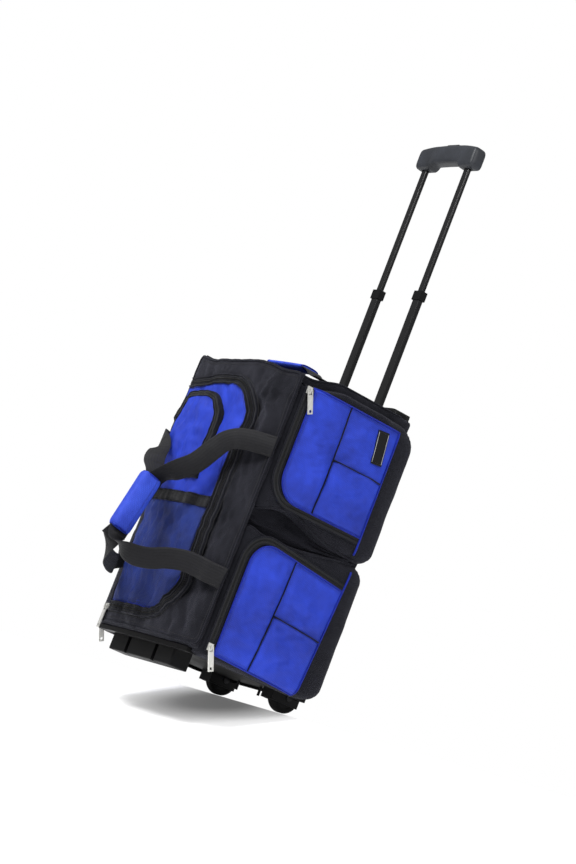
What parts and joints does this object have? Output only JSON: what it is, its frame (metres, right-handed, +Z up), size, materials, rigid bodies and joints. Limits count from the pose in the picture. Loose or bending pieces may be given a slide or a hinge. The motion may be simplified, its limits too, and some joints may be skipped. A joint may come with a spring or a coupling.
{
  "type": "rolling duffel bag",
  "caption": "Upright soft duffel bag on two rear wheels and a front foot, with a telescopic trolley handle, zipped pockets, a padded carry handle and a top grab handle.",
  "frame": {"origin": "middle of the bag's overall footprint, on the floor it stands on", "axes": "+Z up along the trolley poles, -Y the front with the D-shaped zip and the carry handle, +X the right-hand side pockets"},
  "size_m": [0.3804, 0.4351, 1.1305],
  "materials": {
    "black_fabric": "woven polyester",
    "blue_fabric": "patterned woven polyester",
    "blue_mesh": "mesh over blue lining",
    "webbing": "ribbed webbing",
    "zip_tape": "coil zip",
    "pull_metal": "satin nickel",
    "black_tube": "black anodised",
    "black_plastic": "moulded, fine texture",
    "grip_plastic": "soft-touch dark grey",
    "tyre_rubber": "smooth",
    "steel": "bright"
  },
  "bodies": {
    "bag": {"front_surround": "black_fabric", "side_wall_left": "black_fabric", "side_wall_right": "black_fabric", "top_panel": "black_fabric", "bottom_panel": "black_fabric", "back_panel": "black_fabric", "front_flap": "blue_fabric", "flap_pocket": "blue_fabric", "upper_pocket_left": "blue_fabric", "upper_pocket_right": "blue_fabric", "lower_pocket_left": "blue_fabric", "lower_pocket_right": "blue_fabric", "carry_wrap": "blue_fabric", "grab_sleeve": "blue_fabric", "mesh_pocket": "blue_mesh", "carry_strap_left": "webbing", "carry_strap_right": "webbing", "grab_webbing": "webbing", "main_zip_tape": "zip_tape", "pocket_zips_left": "zip_tape", "pocket_zips_right": "zip_tape", "frame_tube_left": "steel", "frame_tube_right": "steel", "axle_left": "steel", "axle_right": "steel", "base_screws": "steel", "tube_bezel": "black_plastic", "tube_bracket": "black_plastic", "base_tray": "black_plastic", "stand_foot": "black_plastic", "wheel_housing_left": "black_plastic", "wheel_housing_right": "black_plastic"},
    "mid_stage": {"mid_tube_left": "black_tube", "mid_tube_right": "black_tube", "collar_left": "black_plastic", "collar_right": "black_plastic"},
    "handle": {"upper_tube_left": "black_tube", "upper_tube_right": "black_tube", "lock_blocks": "black_plastic", "trolley_grip": "grip_plastic"},
    "release_button": {"grip_button": "black_plastic", "push_rod_left": "steel", "push_rod_right": "steel"},
    "lock_pin_left": {"lock_pin_left": "steel"},
    "lock_pin_right": {"lock_pin_right": "steel"},
    "wheel_left": {"tyre_left": "tyre_rubber", "wheel_hub_left": "black_plastic"},
    "wheel_right": {"tyre_right": "tyre_rubber", "wheel_hub_right": "black_plastic"},
    "main_zip_slider": {"main_zip_slider": "pull_metal"},
    "main_zip_pull": {"main_zip_pull": "pull_metal"},
    "flap_zip_slider": {"flap_zip_slider": "pull_metal"},
    "upper_zip_slider_left": {"upper_zip_slider_left": "pull_metal"},
    "upper_zip_pull_left": {"upper_zip_pull_left": "pull_metal"},
    "upper_zip_slider_right": {"upper_zip_slider_right": "pull_metal"},
    "upper_zip_pull_right": {"upper_zip_pull_right": "pull_metal"},
    "lower_zip_slider_left": {"lower_zip_slider_left": "pull_metal"},
    "lower_zip_pull_left": {"lower_zip_pull_left": "pull_metal"},
    "lower_zip_slider_right": {"lower_zip_slider_right": "pull_metal"},
    "lower_zip_pull_right": {"lower_zip_pull_right": "pull_metal"}
  },
  "joints": [
    {"name": "mid_stage_slide", "type": "slide", "parent": "bag", "child": "mid_stage", "axis": [0, 0, 1], "range_m": [-0.218, 0]},
    {"name": "handle_slide", "type": "slide", "parent": "mid_stage", "child": "handle", "axis": [0, 0, 1], "range_m": [-0.254, 0]},
    {"name": "release_button_press", "type": "slide", "parent": "handle", "child": "release_button", "axis": [0, 0, -1], "range_m": [0, 0.005], "stiffness_N_per_m": 400, "springref_m": -0.006},
    {"name": "lock_pin_left_retract", "type": "slide", "parent": "mid_stage", "child": "lock_pin_left", "axis": [-1, 0, 0], "range_m": [0, 0.0011]},
    {"name": "wheel_left_spin", "type": "hinge", "parent": "bag", "child": "wheel_left", "pos_m": [-0.103, 0.186, 0.0305], "axis": [1, 0, 0], "continuous": true},
    {"name": "lock_pin_right_retract", "type": "slide", "parent": "mid_stage", "child": "lock_pin_right", "axis": [1, 0, 0], "range_m": [0, 0.0011]},
    {"name": "wheel_right_spin", "type": "hinge", "parent": "bag", "child": "wheel_right", "pos_m": [0.103, 0.186, 0.0305], "axis": [1, 0, 0], "continuous": true},
    {"name": "main_zip_run", "type": "hinge", "parent": "bag", "child": "main_zip_slider", "pos_m": [0, 0.80497, 0.071], "axis": [0, 0, 1], "range_deg": [0, 9.5]},
    {"name": "main_zip_pull_swing", "type": "hinge", "parent": "main_zip_slider", "child": "main_zip_pull", "pos_m": [-0.13, -0.0897, 0.071], "axis": [-0.9896, 0.1438, 0], "range_deg": [0, 120]},
    {"name": "flap_zip_run", "type": "slide", "parent": "bag", "child": "flap_zip_slider", "axis": [0, 0, 1], "range_m": [-0.03, 0.07]},
    {"name": "upper_zip_run_left", "type": "slide", "parent": "bag", "child": "upper_zip_slider_left", "axis": [0, 0, 1], "range_m": [-0.155, 0]},
    {"name": "upper_zip_pull_swing_left", "type": "hinge", "parent": "upper_zip_slider_left", "child": "upper_zip_pull_left", "pos_m": [-0.187, -0.054, 0.53], "axis": [0, 0.9135, 0.4067], "range_deg": [0, 170]},
    {"name": "lower_zip_run_left", "type": "slide", "parent": "bag", "child": "lower_zip_slider_left", "axis": [0, 0, 1], "range_m": [0, 0.145]},
    {"name": "lower_zip_pull_swing_left", "type": "hinge", "parent": "lower_zip_slider_left", "child": "lower_zip_pull_left", "pos_m": [-0.187, -0.054, 0.05], "axis": [0, 0.9135, 0.4067], "range_deg": [0, 170]},
    {"name": "upper_zip_run_right", "type": "slide", "parent": "bag", "child": "upper_zip_slider_right", "axis": [0, 0, 1], "range_m": [-0.155, 0]},
    {"name": "upper_zip_pull_swing_right", "type": "hinge", "parent": "upper_zip_slider_right", "child": "upper_zip_pull_right", "pos_m": [0.187, -0.054, 0.53], "axis": [0, -0.9135, -0.4067], "range_deg": [0, 170]},
    {"name": "lower_zip_run_right", "type": "slide", "parent": "bag", "child": "lower_zip_slider_right", "axis": [0, 0, 1], "range_m": [0, 0.145]},
    {"name": "lower_zip_pull_swing_right", "type": "hinge", "parent": "lower_zip_slider_right", "child": "lower_zip_pull_right", "pos_m": [0.187, -0.054, 0.05], "axis": [0, -0.9135, -0.4067], "range_deg": [0, 170]}
  ],
  "couplings": [
    {"joint": "lock_pin_left_retract", "follows": "release_button_press", "ratio": 0.22},
    {"joint": "lock_pin_right_retract", "follows": "release_button_press", "ratio": 0.22}
  ]
}
